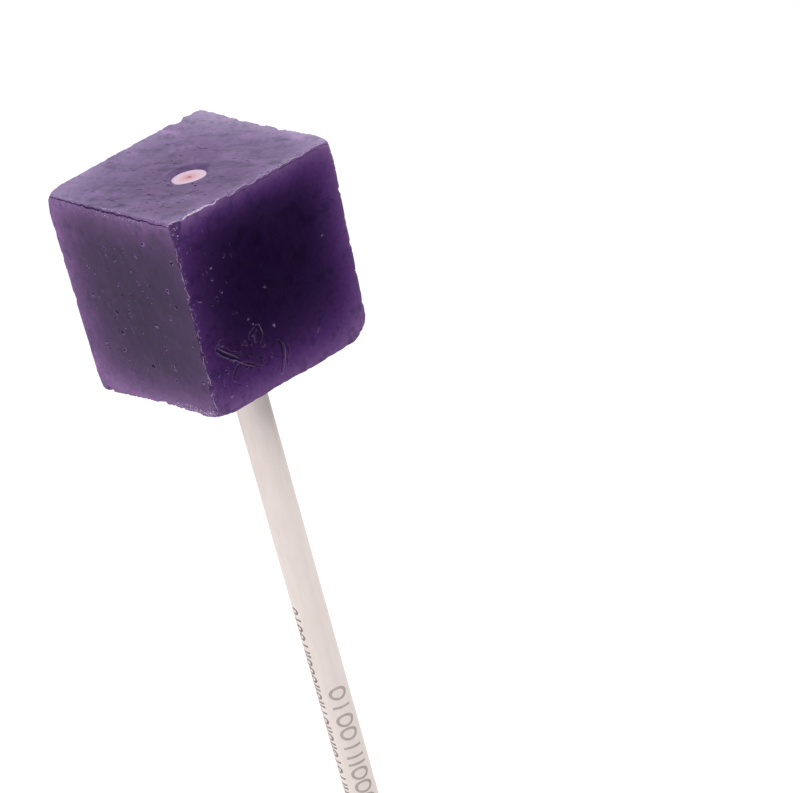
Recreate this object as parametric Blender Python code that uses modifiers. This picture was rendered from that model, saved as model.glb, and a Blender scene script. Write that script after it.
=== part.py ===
"""A cube lollipop lying on one side: a cast block of hard grape candy with a rolled-paper stick right through it.

Metres, +Z up. The origin is the middle of the face that the candy rests on. The stick runs along +X, from the
candy's tip face (-X) to the stick's free end. The candy's front face looks along -Y.
"""

import math
from itertools import product

import bmesh
import bpy
from mathutils import Vector, noise

MM = 0.001
INCH = 0.0254

# Candy block, nominally a one-inch cube. Its section shrinks a little towards the stick, as in a drafted mould.
CANDY_LENGTH = 1.0 * INCH
CANDY_WIDTH = 25.0 * MM
CANDY_HEIGHT = 24.9 * MM
STICK_END_SHARE = 0.96
GRID_CUTS = 23

# How far each corner of the casting sits off the tapered block: (tip or stick end, front or back, low or high).
CORNER_SHIFTS = {
    (-1, -1, -1): Vector((0.1, 0.4, 0.0)) * MM,
    (-1, -1, 1): Vector((0.0, 0.2, 0.1)) * MM,
    (-1, 1, 1): Vector((-0.1, 0.05, -0.05)) * MM,
    (-1, 1, -1): Vector((-0.5, 0.3, 0.0)) * MM,
    (1, -1, -1): Vector((0.95, -0.3, 0.0)) * MM,
    (1, -1, 1): Vector((-0.25, -0.4, -0.3)) * MM,
    (1, 1, 1): Vector((0.0, 0.0, -0.1)) * MM,
    (1, 1, -1): Vector((0.3, 0.2, 0.0)) * MM,
}

# Three edges flare out a little. Each is named by an axis (0 is X, 1 is Y), the side on it, and low or high.
EDGE_FLARES = {
    (0, -1, -1): 0.60 * MM,
    (0, 1, 1): 0.58 * MM,
    (1, -1, -1): 0.30 * MM,
}
FLARE_REACH = 4.0 * MM

# Edges: a small worn radius, bites where the brittle edge chipped, and blunter corners.
WORN_RADIUS = 0.18 * MM
CHIP_RADIUS = 0.45 * MM
CHIP_LENGTH = 1.9 * MM
CHIP_START = 0.05
BLUNT_REACH = 3.0 * MM
BLUNT_CORNERS = {
    (1, 1, 1): 1.6 * MM,
    (-1, -1, -1): 0.9 * MM,
    (-1, 1, 1): 0.6 * MM,
    (-1, 1, -1): 0.6 * MM,
    (1, -1, -1): 0.5 * MM,
    (1, -1, 1): 0.9 * MM,
}

# Faces: a slow unevenness, which dies out towards the flat resting face.
WAVE_HEIGHT = 0.10 * MM
WAVE_LENGTH = 7.0 * MM
FLAT_FOOT = 1.5 * MM

# Rolled-paper stick, 11/64 inch across, off the candy's centre, its tip just under the candy's surface.
STICK_DIAMETER = 11 / 64 * INCH
STICK_LENGTH = 6.0 * INCH
STICK_Y = -1.3 * MM
STICK_Z = 14.6 * MM
STICK_SINK = 0.3 * MM
STICK_END_ROUND = 0.25 * MM
STICK_CORE_RADIUS = 0.35 * MM
STICK_CORE_DEPTH = 0.6 * MM
STICK_SIDES = 40

# Hole that the stick fills, and the shallow dish that the candy makes round the stick's tip.
FIT_GAP = 0.3 * MM
DISH_RADIUS = 2.95 * MM
DISH_DEPTH = 0.4 * MM
HOLE_SIDES = 32
CUT_MARGIN = 2.0 * MM


def clear_scene():
    for old in list(bpy.data.objects):
        bpy.data.objects.remove(old)


def new_collection(name):
    collection = bpy.data.collections.new(name)
    bpy.context.scene.collection.children.link(collection)
    return collection


def material(name, colour, roughness):
    made = bpy.data.materials.new(name)
    made.use_nodes = True
    shader = made.node_tree.nodes["Principled BSDF"]
    shader.inputs["Base Color"].default_value = (*colour, 1.0)
    shader.inputs["Roughness"].default_value = roughness
    shader.inputs["Metallic"].default_value = 0.0
    return made


def new_object(name, mesh, collection):
    made = bpy.data.objects.new(name, mesh)
    collection.objects.link(made)
    return made


def smoothstep(low, high, value):
    share = min(max((value - low) / (high - low), 0.0), 1.0)
    return share * share * (3 - 2 * share)


# ---------------------------------------------------------------- candy


def candy_half():
    return Vector((CANDY_LENGTH, CANDY_WIDTH, CANDY_HEIGHT)) / 2


def corner_place(corner):
    """Where a corner of the casting is. Corners are (+-1, +-1, +-1), and the low ones lie on the floor."""
    end, side, level = corner
    share = STICK_END_SHARE if end > 0 else 1.0
    top = CANDY_HEIGHT * share if level > 0 else 0.0
    return Vector((end * CANDY_LENGTH / 2, side * share * CANDY_WIDTH / 2, top)) + CORNER_SHIFTS[corner]


def cast_place(block_point):
    """Carries a point of the plain block to the uneven casting by blending the eight corners."""
    half = candy_half()
    shares = [block_point[axis] / half[axis] for axis in range(3)]
    place = Vector((0.0, 0.0, 0.0))
    for corner in product((-1, 1), repeat=3):
        weight = math.prod((1 + sign * share) / 2 for sign, share in zip(corner, shares))
        place += corner_place(corner) * weight
    for (axis, side, level), flare in EDGE_FLARES.items():
        side_weight = (1 + side * shares[axis]) / 2
        away = (1 - level * shares[2]) * half.z
        place[axis] += side * flare * side_weight * math.exp(-away / FLARE_REACH)
    return place


def edge_radius(block_point):
    """The rounding at this place: worn all over, more where a chip broke off and at the blunt corners."""
    half = candy_half()
    chip = noise.noise(block_point / CHIP_LENGTH)
    radius = WORN_RADIUS + CHIP_RADIUS * smoothstep(CHIP_START, 1.0, chip)
    for corner, blunt in BLUNT_CORNERS.items():
        corner_point = Vector([sign * size for sign, size in zip(corner, half)])
        away = (block_point - corner_point).length
        radius += blunt * (1 - smoothstep(0.0, BLUNT_REACH, away))
    return radius


def weathered(block_point):
    """Rounds the block's edges, chips them, and lets its faces wander a little."""
    half = candy_half()
    radius = edge_radius(block_point)
    core = Vector([min(max(block_point[a], radius - half[a]), half[a] - radius) for a in range(3)])
    outward = (block_point - core).normalized()
    above_floor = block_point.z + half.z
    wave = noise.noise(block_point / WAVE_LENGTH) * smoothstep(0.0, FLAT_FOOT, above_floor)
    return core + outward * (radius + WAVE_HEIGHT * wave)


def candy_mesh():
    """A cube with a grid on each face, its lines crowded towards the edges, where the chips are."""
    half = candy_half()
    grid = bmesh.new()
    bmesh.ops.create_cube(grid, size=2.0)
    bmesh.ops.subdivide_edges(grid, edges=grid.edges[:], cuts=GRID_CUTS, use_grid_fill=True)
    for vertex in grid.verts:
        crowded = [math.sin(share * math.pi / 2) for share in vertex.co]
        block_point = Vector([share * size for share, size in zip(crowded, half)])
        vertex.co = cast_place(weathered(block_point))
    mesh = bpy.data.meshes.new("candy")
    grid.to_mesh(mesh)
    grid.free()
    mesh.shade_smooth()
    return mesh


# ---------------------------------------------------------------- stick and hole


def turned_object(name, profile, sides, collection):
    """Turns a profile of (radius, height) points, top to bottom, about the object's own Z."""
    mesh = bpy.data.meshes.new(name)
    points = [(radius, 0.0, height) for radius, height in profile]
    mesh.from_pydata(points, [(i, i + 1) for i in range(len(points) - 1)], [])
    made = new_object(name, mesh, collection)
    screw = made.modifiers.new("turn", "SCREW")
    screw.steps = screw.render_steps = sides
    screw.use_merge_vertices = True
    screw.merge_threshold = 0.01 * MM
    screw.use_smooth_shade = False
    return made


def lay_along_stick(made, tip_x):
    """Lays a turned object down so that its top points at -X and its own origin is on the stick's axis at tip_x."""
    made.rotation_euler = (0.0, -math.pi / 2, 0.0)
    made.location = (tip_x, STICK_Y, STICK_Z)


def stick_profile():
    """Half of the stick's outline: the open core at each end, rounded rims, and the straight side."""
    radius = STICK_DIAMETER / 2
    end = [
        (0.0, -STICK_CORE_DEPTH),
        (STICK_CORE_RADIUS * 0.7, -STICK_CORE_DEPTH),
        (STICK_CORE_RADIUS, 0.0),
        (radius - STICK_END_ROUND, 0.0),
        (radius - STICK_END_ROUND * 0.3, -STICK_END_ROUND * 0.3),
        (radius, -STICK_END_ROUND),
    ]
    other_end = [(r, -STICK_LENGTH - height) for r, height in reversed(end)]
    return end + other_end


def hole_profile():
    """The dish at the tip face, then the straight hole to beyond the face that the stick leaves by."""
    bore = STICK_DIAMETER / 2 + FIT_GAP
    reach = CANDY_LENGTH + CUT_MARGIN
    slope = DISH_RADIUS / (DISH_DEPTH * 4)
    return [
        (0.0, CUT_MARGIN),
        (DISH_RADIUS + CUT_MARGIN * slope, CUT_MARGIN),
        (DISH_RADIUS, 0.0),
        (bore + 0.3 * MM, -DISH_DEPTH * 0.6),
        (bore, -DISH_DEPTH),
        (bore, -reach),
        (0.0, -reach),
    ]


# ---------------------------------------------------------------- assembly


def build():
    clear_scene()
    part = new_collection("cube_lollipop")
    cutters = new_collection("cutters")
    tip_face_x = -CANDY_LENGTH / 2

    hole = turned_object("stick_hole", hole_profile(), HOLE_SIDES, cutters)
    lay_along_stick(hole, tip_face_x)
    hole.hide_render = True
    hole.display_type = "WIRE"

    candy = new_object("candy", candy_mesh(), part)
    candy.data.materials.append(material("grape_candy", (0.030, 0.010, 0.060), 0.30))
    cut = candy.modifiers.new("stick_hole", "BOOLEAN")
    cut.operation = "DIFFERENCE"
    cut.solver = "EXACT"
    cut.object = hole

    stick = turned_object("stick", stick_profile(), STICK_SIDES, part)
    lay_along_stick(stick, tip_face_x + STICK_SINK)
    stick.data.materials.append(material("stick_paper", (0.76, 0.68, 0.64), 0.85))


build()
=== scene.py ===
# %% [markdown]
# # A grape cube lollipop
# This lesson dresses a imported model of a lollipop: a one-inch cube of hard grape candy, cast round a
# rolled-paper stick that runs right through it. The model lies on one side of the cube. Two pieces are made
# here, the candy and the stick, and each one replaces its plain solid in the model.
#
# Small shapes are modelled on a "bench" where one Blender unit is one millimetre. Several of Blender's tools
# have merge distances meant for rooms and cars, so a chip of 0.2 mm is safer at a thousand times its size.
# Each finished piece is scaled back to metres.

# %% Load the frame and the tools
import math
import random

import bpy
import numpy as np
from mathutils import Matrix, Vector


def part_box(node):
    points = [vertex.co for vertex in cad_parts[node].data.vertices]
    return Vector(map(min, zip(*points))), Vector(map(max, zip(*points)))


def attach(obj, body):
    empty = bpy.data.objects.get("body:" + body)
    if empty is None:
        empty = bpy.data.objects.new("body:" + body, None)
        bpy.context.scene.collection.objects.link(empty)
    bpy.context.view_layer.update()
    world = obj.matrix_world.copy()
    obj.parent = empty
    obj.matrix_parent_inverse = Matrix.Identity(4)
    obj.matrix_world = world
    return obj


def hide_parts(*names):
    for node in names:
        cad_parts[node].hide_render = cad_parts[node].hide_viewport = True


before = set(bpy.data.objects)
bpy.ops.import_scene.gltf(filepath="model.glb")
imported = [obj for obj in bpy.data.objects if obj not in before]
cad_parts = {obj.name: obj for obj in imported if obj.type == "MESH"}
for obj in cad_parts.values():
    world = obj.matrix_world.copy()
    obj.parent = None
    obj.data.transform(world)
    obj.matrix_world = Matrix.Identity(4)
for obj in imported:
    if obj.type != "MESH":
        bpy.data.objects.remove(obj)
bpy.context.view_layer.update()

BENCH = 1000.0

# %% [markdown]
# ## The camera
# The lens and the place of the camera are set from real distances. The camera hangs above the candy's near
# corner and looks down on it, rolled so that the stick points to the bottom of the picture. A camera is placed
# most exactly by its own three axes, so its matrix is written from "right", "up" and "back".

# %% Camera
camera_data = bpy.data.cameras.new("camera")
camera_data.sensor_width = 36.0
camera_data.lens = 118.64
camera = bpy.data.objects.new("camera", camera_data)
bpy.context.scene.collection.objects.link(camera)
CAMERA_PLACE = Vector((-117.49, -163.34, 260.37)) / BENCH
camera_right = Vector((0.2216, 0.7125, 0.6657)).normalized()
camera_back = Vector((-0.4291, -0.5418, 0.7227))
camera_up = camera_back.cross(camera_right).normalized()
camera_back = camera_right.cross(camera_up)
camera.matrix_world = Matrix.Translation(CAMERA_PLACE) @ Matrix(
    (camera_right, camera_up, camera_back)
).transposed().to_4x4()
bpy.context.scene.camera = camera
print("camera is", round(CAMERA_PLACE.length * BENCH), "mm from the origin")

# %% [markdown]
# ## Measuring the cast block
# The candy is a cube in name only: its faces lean a little, because the mould is drafted and the casting is
# uneven. Later steps need to know where each face is. Every face of the model that looks almost straight along
# an axis belongs to one side of the block, so an average of those faces, weighted by area, gives that side's plane.

# %% Planes of the six sides
SIDE_AXES = {
    "tip": Vector((-1, 0, 0)),
    "stick_end": Vector((1, 0, 0)),
    "front": Vector((0, -1, 0)),
    "back": Vector((0, 1, 0)),
    "floor": Vector((0, 0, -1)),
    "top": Vector((0, 0, 1)),
}
stick_low, stick_high = (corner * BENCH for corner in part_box("stick"))
STICK_RADIUS = (stick_high.z - stick_low.z) / 2
STICK_Y = (stick_high.y + stick_low.y) / 2
STICK_Z = (stick_high.z + stick_low.z) / 2
HOLE_REACH = STICK_RADIUS + 1.3


def from_stick(point):
    """Distance from the stick's axis."""
    return math.hypot(point.y - STICK_Y, point.z - STICK_Z)


def side_plane(mesh, axis):
    """Outward normal, and its dot product with any point of the plane, in millimetres."""
    normal = Vector((0, 0, 0))
    centre = Vector((0, 0, 0))
    area = 0.0
    for face in mesh.polygons:
        middle = face.center * BENCH
        if face.normal.dot(axis) > 0.97 and from_stick(middle) > HOLE_REACH:
            normal += face.normal * face.area
            centre += middle * face.area
            area += face.area
    normal.normalize()
    return normal, normal.dot(centre / area)


planes = {side: side_plane(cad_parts["candy"].data, axis) for side, axis in SIDE_AXES.items()}
for side, (normal, offset) in planes.items():
    print(side, "plane", [round(v, 3) for v in normal], round(offset, 2), "mm")
print("stick radius", round(STICK_RADIUS, 2), "at y", round(STICK_Y, 2), "z", round(STICK_Z, 2))

# %% [markdown]
# ## Bench helpers
# Operators act on whatever is selected, so each step starts by selecting exactly what it means to change. The
# other helpers apply a modifier, cut one mesh with another, and join many small copies into one cutter.


# %% Selecting, applying and cutting
def select_only(*objects):
    bpy.ops.object.select_all(action="DESELECT")
    for thing in objects:
        thing.select_set(True)
    bpy.context.view_layer.objects.active = objects[0]


def apply_modifier(thing, kind, **settings):
    select_only(thing)
    modifier = thing.modifiers.new(kind.lower(), kind)
    for name, value in settings.items():
        setattr(modifier, name, value)
    bpy.ops.object.modifier_apply(modifier=modifier.name)


def discard(thing):
    mesh = thing.data
    bpy.data.objects.remove(thing)
    if isinstance(mesh, bpy.types.Mesh):
        bpy.data.meshes.remove(mesh)


def cut(thing, cutter, operation="DIFFERENCE"):
    apply_modifier(thing, "BOOLEAN", operation=operation, solver="MANIFOLD", object=cutter)
    discard(cutter)


def copies_joined(model, places):
    """One object made of a copy of the model at each place, a 4x4 matrix. The model itself is used up."""
    copies = []
    for place in places:
        copy = model.copy()
        copy.data = model.data.copy()
        copy.data.transform(place)
        bpy.context.scene.collection.objects.link(copy)
        copies.append(copy)
    discard(model)
    select_only(*copies)
    bpy.ops.object.join()
    return bpy.context.view_layer.objects.active


def back_to_metres(thing, name):
    """Scales a finished bench piece down to real size, with its place in its mesh."""
    thing.scale = (1 / BENCH,) * 3
    select_only(thing)
    bpy.ops.object.transform_apply(location=True, rotation=True, scale=True)
    thing.name = thing.data.name = name


# %% [markdown]
# ## The candy block
# The block starts as a copy of the model's own candy, so it has the right form to begin with. A copy of a packed
# mesh is loose triangles, so its doubles are merged first. The model leaves a narrow gap round the stick; real
# candy is cast onto the stick, so the hole's walls are deleted and its two mouths are filled, and the block is
# solid again until the stick's seat is cut exactly.

# %% Copy, merge and close the hole
block = bpy.data.objects.new("block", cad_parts["candy"].data.copy())
bpy.context.scene.collection.objects.link(block)
block.data.materials.clear()
block.data.transform(Matrix.Scale(BENCH, 4))
select_only(block)
bpy.ops.object.mode_set(mode="EDIT")
bpy.ops.mesh.select_all(action="SELECT")
bpy.ops.mesh.customdata_custom_splitnormals_clear()
bpy.ops.mesh.remove_doubles(threshold=0.002)
bpy.ops.mesh.select_all(action="DESELECT")
bpy.ops.object.mode_set(mode="OBJECT")

hole_walls = 0
for face in block.data.polygons:
    corners = [block.data.vertices[index].co for index in face.vertices]
    if max(from_stick(point) for point in corners) < HOLE_REACH:
        face.select = True
        hole_walls += 1
bpy.ops.object.mode_set(mode="EDIT")
bpy.ops.mesh.select_mode(type="FACE")
bpy.ops.mesh.delete(type="FACE")
bpy.ops.mesh.select_all(action="SELECT")
bpy.ops.mesh.fill_holes(sides=0)
bpy.ops.mesh.quads_convert_to_tris()
bpy.ops.object.mode_set(mode="OBJECT")
print("block:", len(block.data.polygons), "faces;", hole_walls, "faces of the hole taken out")

# %% [markdown]
# ## The broken corner
# At the near corner a sliver has snapped off. Brittle candy breaks along a nearly flat facet, and a bisect makes
# exactly that: it slices the mesh by a plane, throws one side away and fills the cut.


# %% Snap off a corner with a bisect
snapped_facets = []


def snap_off(thing, a, b, c):
    """Removes what lies beyond the plane through three points, on the side away from the block's middle."""
    a, b, c = Vector(a), Vector(b), Vector(c)
    normal = (b - a).cross(c - a).normalized()
    if normal.dot(Vector((0, 0, STICK_Z)) - a) > 0:
        normal = -normal
    select_only(thing)
    bpy.ops.object.mode_set(mode="EDIT")
    bpy.ops.mesh.select_all(action="SELECT")
    bpy.ops.mesh.bisect(plane_co=a, plane_no=normal, use_fill=True, clear_outer=True)
    bpy.ops.object.mode_set(mode="OBJECT")
    snapped_facets.append((a, normal))


snap_off(block, (-12.75, -10.6, 25.1), (-12.75, -12.35, 24.2), (-9.2, -12.35, 24.8))
FACET_MIDDLE = Vector((-11.6, -11.8, 24.6))
FACET_SPREAD = (0.9, 0.3, 0.2)
print("block after the corner:", len(block.data.polygons), "faces")

# %% [markdown]
# ## The twelve edges
# Each edge is the line where two of the planes meet. The real edge wanders a little off that line, because it is
# worn and flared, so a ray shot inwards from outside finds where it really is.

# %% Corners and edges of the block
rng = random.Random(41)
RAY_START = 4.0


def corner(*sides):
    """Where three of the planes meet."""
    rows = [planes[side] for side in sides]
    return Vector(np.linalg.solve([tuple(n) for n, _ in rows], [offset for _, offset in rows]))


def block_edges():
    """(start, end, outward direction) of each of the twelve edges, under the names of its two sides."""
    found = {}
    for ends, first, second in (
        (("tip", "stick_end"), ("front", "back"), ("floor", "top")),
        (("front", "back"), ("tip", "stick_end"), ("floor", "top")),
        (("floor", "top"), ("tip", "stick_end"), ("front", "back")),
    ):
        for a in first:
            for b in second:
                outward = (planes[a][0] + planes[b][0]).normalized()
                found[a, b] = (corner(ends[0], a, b), corner(ends[1], a, b), outward)
    return found


edges = block_edges()
for sides, (start, end, outward) in edges.items():
    print("edge", sides, "length", round((end - start).length, 1), "mm")


def edge_spot(sides, at):
    """The block's own edge between two sides, this many millimetres from its start."""
    start, end, outward = edges[sides]
    place = start + (end - start).normalized() * at
    hit, spot, _, _ = block.ray_cast(place + outward * RAY_START, -outward)
    return spot if hit else place


# %% [markdown]
# ## Chips along the edges
# The edges were knocked about in the wrapper. Each knock scooped a shallow hollow, so the cutters are roughened
# icospheres: their middles lie outside the edge, and only a cap of each bites into it. Cutters in one mesh mustn't
# overlap, so each pass walks along an edge and leaves a gap between one bite and the next. A coarse pass and a fine
# pass together look broken rather than drilled. Some edges took more wear than others.

# %% Scoop the edges
EDGE_WEAR = {
    ("front", "top"): 1.8,
    ("stick_end", "front"): 1.6,
    ("tip", "back"): 1.7,
    ("front", "floor"): 0.9,
    ("back", "top"): 1.1,
    ("stick_end", "top"): 0.35,
    ("tip", "floor"): 1.3,
}


def rough_shard(detail, roughness):
    """A knobbly ball of radius 1."""
    bpy.ops.mesh.primitive_ico_sphere_add(subdivisions=detail, radius=1.0)
    shard = bpy.context.view_layer.objects.active
    bpy.ops.object.mode_set(mode="EDIT")
    bpy.ops.mesh.select_all(action="SELECT")
    bpy.ops.transform.vertex_random(offset=roughness, seed=5)
    bpy.ops.object.mode_set(mode="OBJECT")
    return shard


def bite_matrix(point, outward, radius, depth):
    """Places a shard so that it bites this deep into the edge at this point."""
    spin = Matrix.Rotation(rng.uniform(0, 2 * math.pi), 4, Vector([rng.uniform(-1, 1) for _ in range(3)]))
    middle = point + outward * (radius - depth)
    return Matrix.Translation(middle) @ Matrix.Scale(radius, 4) @ spin


def edge_bites(step, radii, depths, skip):
    """Bites along all edges, spaced so that neighbours never touch."""
    places = []
    for sides, (start, end, outward) in edges.items():
        wear = EDGE_WEAR.get(sides, 1.0)
        reach = (end - start).length
        at = radii[1] * 1.2
        while at < reach - radii[1] * 1.2:
            radius = rng.uniform(*radii)
            if rng.random() > skip:
                places.append(bite_matrix(edge_spot(sides, at), outward, radius, rng.uniform(*depths) * wear))
            at += radius * 2.15 + rng.uniform(*step)
    return places


coarse = edge_bites(step=(0.2, 3.0), radii=(0.5, 1.5), depths=(0.05, 0.22), skip=0.15)
cut(block, copies_joined(rough_shard(2, 0.07), coarse))
fine = edge_bites(step=(0.0, 0.6), radii=(0.15, 0.42), depths=(0.03, 0.12), skip=0.2)
cut(block, copies_joined(rough_shard(1, 0.06), fine))
print(len(coarse), "large bites,", len(fine), "small bites;", len(block.data.polygons), "faces")

# %% [markdown]
# A few knocks have a known place: the notch near the far corner, and the small steps along the tip face's far
# edges. Each line names the edge, how far along it the knock is, the ball's radius and the depth.

# %% Named knocks
KNOCKS = (
    (("tip", "floor"), 9.3, 1.8, 0.13),
    (("tip", "floor"), 13.4, 1.2, 0.13),
    (("tip", "floor"), 20.9, 1.2, 0.62),
    (("tip", "back"), 5.8, 1.2, 0.14),
    (("tip", "back"), 12.2, 1.5, 0.30),
    (("tip", "back"), 15.7, 0.8, 0.26),
    (("tip", "back"), 19.7, 0.5, 0.18),
    (("stick_end", "front"), 12.7, 1.0, 0.22),
    (("front", "floor"), 14.1, 1.6, 0.20),
    (("back", "top"), 13.5, 2.0, 0.14),
)
knock_places = []
for sides, at, radius, depth in KNOCKS:
    knock_places.append(bite_matrix(edge_spot(sides, at), edges[sides][2], radius, depth))
cut(block, copies_joined(rough_shard(2, 0.05), knock_places))
print(len(knock_places), "named knocks")

# %% [markdown]
# Where the near low corner broke, small crumbs still cling to the two edges. They are only joined to the block
# here: the remesh below melts them into it.

# %% Crumbs
CRUMB_SINK = 0.05
CRUMB_FREE_END = 0.3


def crumb_places(sides, count, reach):
    """Small crumbs that cling to the last millimetres of an edge, this far back and almost to its end."""
    start, end, outward = edges[sides]
    length = (end - start).length
    places = []
    for _ in range(count):
        size = rng.uniform(0.10, 0.26)
        at = rng.uniform(length - reach, length - CRUMB_FREE_END)
        spot = edge_spot(sides, at) - outward * (CRUMB_SINK + rng.uniform(0, 0.15))
        turn = Matrix.Rotation(rng.uniform(0, 6.28), 4, Vector((1, rng.random(), rng.random())))
        stretch = Matrix.Diagonal((size * rng.uniform(0.7, 1.6), size, size * 0.8, 1))
        places.append(Matrix.Translation(spot) @ turn @ stretch)
    return places


low_edge, long_edge = ("stick_end", "front"), ("front", "top")
crumbs = crumb_places(low_edge, 18, 4.5) + crumb_places(long_edge, 12, 3.5)
crumb_lump = copies_joined(rough_shard(1, 0.1), crumbs)
select_only(block, crumb_lump)
bpy.ops.object.join()
print(len(crumbs), "crumbs")

# %% [markdown]
# ## One even skin
# The block is now a mix of large and tiny faces. A voxel remesh gives it one even skin of small quads, fine enough
# to hold the chips. On its own it leaves faint steps on a face that leans, so a Shrinkwrap modifier lays the new
# skin back on the shape that it was made from. Two Displace modifiers then let the faces wander as poured candy
# does. Their middle level is 1, so they only move the skin inwards and the block keeps its size.

# %% Remesh and unevenness
SKIN = 0.16

rough_shape = block.copy()
rough_shape.data = block.data.copy()
bpy.context.scene.collection.objects.link(rough_shape)
apply_modifier(block, "REMESH", mode="VOXEL", voxel_size=SKIN)
apply_modifier(block, "SHRINKWRAP", target=rough_shape, wrap_method="NEAREST_SURFACEPOINT")
discard(rough_shape)


def uneven(thing, pattern, size, depth):
    texture = bpy.data.textures.new(pattern, "CLOUDS")
    texture.noise_scale = size
    texture.noise_depth = 2
    apply_modifier(thing, "DISPLACE", texture=texture, texture_coords="LOCAL", mid_level=1.0, strength=depth)


uneven(block, "slow_wander", 5.0, 0.08)
uneven(block, "small_ripple", 0.9, 0.02)
print("skin:", len(block.data.polygons), "quads")

# %% [markdown]
# ## Finding a place on the skin
# Pits and creases are placed by two numbers on one side of the block, and have to start exactly on the skin. A ray
# shot straight at that side from outside gives the point and the way the skin faces there.


# %% Aim at a side
OFF_SIDE = 1.2
FAR_OUT = 60


def in_plane(side, numbers):
    """The two of three numbers that belong to the axes that a side doesn't face."""
    return [numbers[a] for a in range(3) if abs(SIDE_AXES[side][a]) < 0.5]


def on_skin(side, u, v):
    """The skin's point and normal at two coordinates, given along the two axes that the side doesn't face."""
    axis = SIDE_AXES[side]
    point = [0.0, 0.0, 0.0]
    first, second = in_plane(side, range(3))
    point[first], point[second] = u, v
    origin = Vector(point) + axis * FAR_OUT
    hit, place, normal, _ = block.ray_cast(origin, -axis)
    outward, offset = planes[side]
    if not hit or abs(outward.dot(place) - offset) > OFF_SIDE:
        return None, None
    return place, normal


print("middle of the top face:", [round(c, 2) for c in on_skin("top", 0, 0)[0]])

# %% [markdown]
# ## Pits
# Bubbles burst at the face of the casting and left pits of 0.2 to 0.5 mm, single or in clusters, some dragged out
# into short scratches. They are cut with squashed icospheres, laid on the skin. A new pit is dropped if it would
# touch one that is already there.

# %% Scatter and cut the pits
pit_places = []
pit_points = []


def try_pit(side, u, v, radius, stretch, heading):
    place, normal = on_skin(side, u, v)
    if place is None:
        return
    reach = radius * stretch
    if any((place - other).length < reach + far + 0.05 for other, far in pit_points):
        return
    turn = normal.to_track_quat("Z", "Y").to_matrix().to_4x4() @ Matrix.Rotation(heading, 4, "Z")
    shape = Matrix.Diagonal((radius * stretch, radius, radius * 0.8, 1))
    pit_places.append(Matrix.Translation(place) @ turn @ shape)
    pit_points.append((place, reach))


def pit_cluster(side, centre, spread, count, radii=(0.10, 0.22), heading=None):
    for _ in range(count):
        u = rng.gauss(centre[0], spread[0])
        v = rng.gauss(centre[1], spread[1])
        stretch = 1.0 if rng.random() < 0.6 else rng.uniform(1.5, 3.2)
        turn = rng.uniform(0, math.pi) if heading is None else heading + rng.gauss(0, 0.25)
        try_pit(side, u, v, rng.uniform(*radii), stretch, turn)


MIDDLE = (0.0, 12.3)
FRONT_PITS = (
    (-9.2, 18.0, 0.17),
    (-7.6, 13.5, 0.15),
    (-7.2, 9.5, 0.12),
    (-7.5, 22.9, 0.20),
    (-6.0, 11.0, 0.13),
    (-5.2, 14.0, 0.12),
    (-4.2, 5.0, 0.15),
    (-3.5, 14.7, 0.14),
    (-3.6, 20.4, 0.18),
    (-1.6, 21.4, 0.22),
    (-1.3, 10.5, 0.12),
    (-0.4, 4.3, 0.16),
    (1.4, 8.3, 0.20),
    (2.2, 7.7, 0.16),
    (1.7, 16.0, 0.14),
    (3.4, 7.5, 0.15),
    (4.1, 8.2, 0.26),
    (3.3, 12.5, 0.12),
    (4.8, 16.5, 0.15),
    (6.7, 4.1, 0.14),
    (7.8, 12.9, 0.25),
    (7.2, 14.1, 0.14),
    (8.9, 17.0, 0.13),
    (8.0, 22.4, 0.18),
)
TIP_PITS = (
    (-3.2, 18.3, 0.14),
    (-3.0, 17.5, 0.15),
    (-2.1, 15.3, 0.11),
    (-8.3, 24.3, 0.16),
    (-9.0, 23.9, 0.10),
)
for u, v, radius in FRONT_PITS:
    try_pit("front", u, v, radius, rng.choice((1.0, 1.0, 1.5)), rng.uniform(0, math.pi))
pit_cluster("front", (4.0, 9.5), (3.0, 3.0), 14, (0.07, 0.12))
pit_cluster("front", MIDDLE, (6.0, 6.0), 22, (0.06, 0.11))
pit_cluster("top", (-7.0, -8.0), (3.0, 2.5), 10, (0.08, 0.16))
pit_cluster("top", (6.0, -7.0), (3.0, 3.0), 9, (0.08, 0.15))
pit_cluster("top", (2.0, 2.0), (6.0, 5.5), 4, (0.06, 0.11))
for u, v, radius in TIP_PITS:
    try_pit("tip", u, v, radius, 1.3, 0.4)
pit_cluster("tip", MIDDLE, (6.0, 6.0), 12, (0.05, 0.09), 1.2)
for side in ("back", "stick_end", "floor"):
    pit_cluster(side, MIDDLE if side != "floor" else (0, 0), (6.0, 6.0), 40, (0.07, 0.16))
bpy.ops.mesh.primitive_ico_sphere_add(subdivisions=2, radius=1.0)
pit = bpy.context.view_layer.objects.active
cut(block, copies_joined(pit, pit_places))
print(len(pit_places), "pits;", len(block.data.polygons), "faces")

# %% [markdown]
# ## Creases, scratches and the rim lines
# The top face has wandering creases, where the candy folded as it set, and below the rim of the tip face runs a
# jagged line, where a skin of candy overlaps the side. All are grooves, cut by a thin tube that follows the skin:
# a curve with a round bevel, thinner towards its ends, made into a mesh.


# %% Grooves and ridges
ridges = []


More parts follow.
